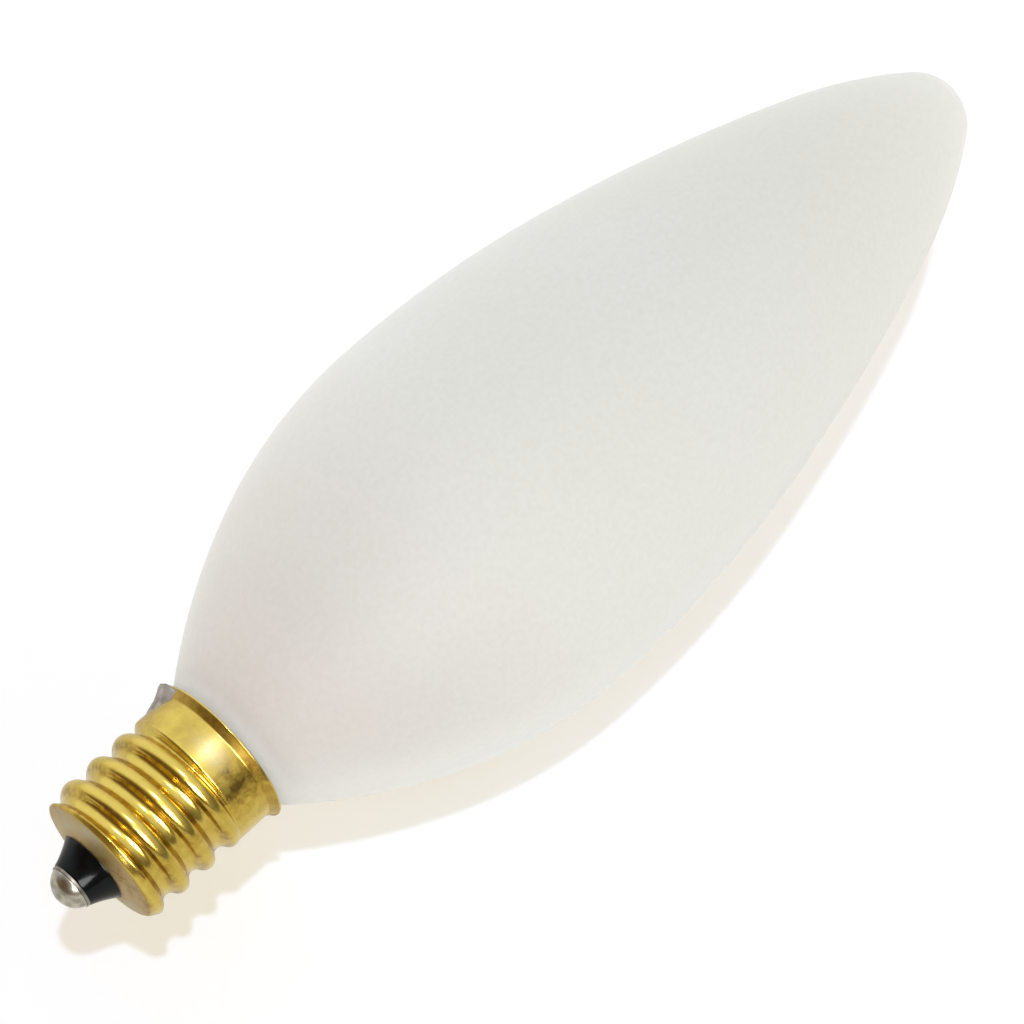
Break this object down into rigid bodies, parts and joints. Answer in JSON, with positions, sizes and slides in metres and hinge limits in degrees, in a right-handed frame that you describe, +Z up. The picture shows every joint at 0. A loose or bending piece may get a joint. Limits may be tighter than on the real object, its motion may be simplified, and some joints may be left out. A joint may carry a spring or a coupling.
{
  "type": "candle bulb",
  "caption": "Frosted torpedo-shaped candle lamp with a small right-hand screw cap of drawn brass and a black glass insulator, lying on its side.",
  "frame": {"origin": "on the floor below the middle of the bulb as it lies at rest", "axes": "+X from the cap to the tip along the floor, +Z up; the bulb's own axis rises 4 degrees from the cap to the tip"},
  "size_m": [0.0944, 0.0318, 0.032],
  "materials": {
    "frosted_glass": "acid-etched, matte white",
    "cap_brass": "drawn and rolled, lightly tarnished",
    "black_glass": "moulded, glossy",
    "eyelet_brass": "pressed",
    "contact_tin": "smooth solder",
    "lead_wire": "drawn wire",
    "cement": "baked cement",
    "rim_tin": "dull solder"
  },
  "bodies": {
    "root": {"glass_bulb": "frosted_glass", "screw_shell": "cap_brass", "base_insulator": "black_glass", "contact_eyelet": "eyelet_brass", "contact_solder": "contact_tin", "centre_lead": "lead_wire", "side_lead": "lead_wire", "base_cement": "cement", "rim_solder": "rim_tin"}
  },
  "joints": []
}
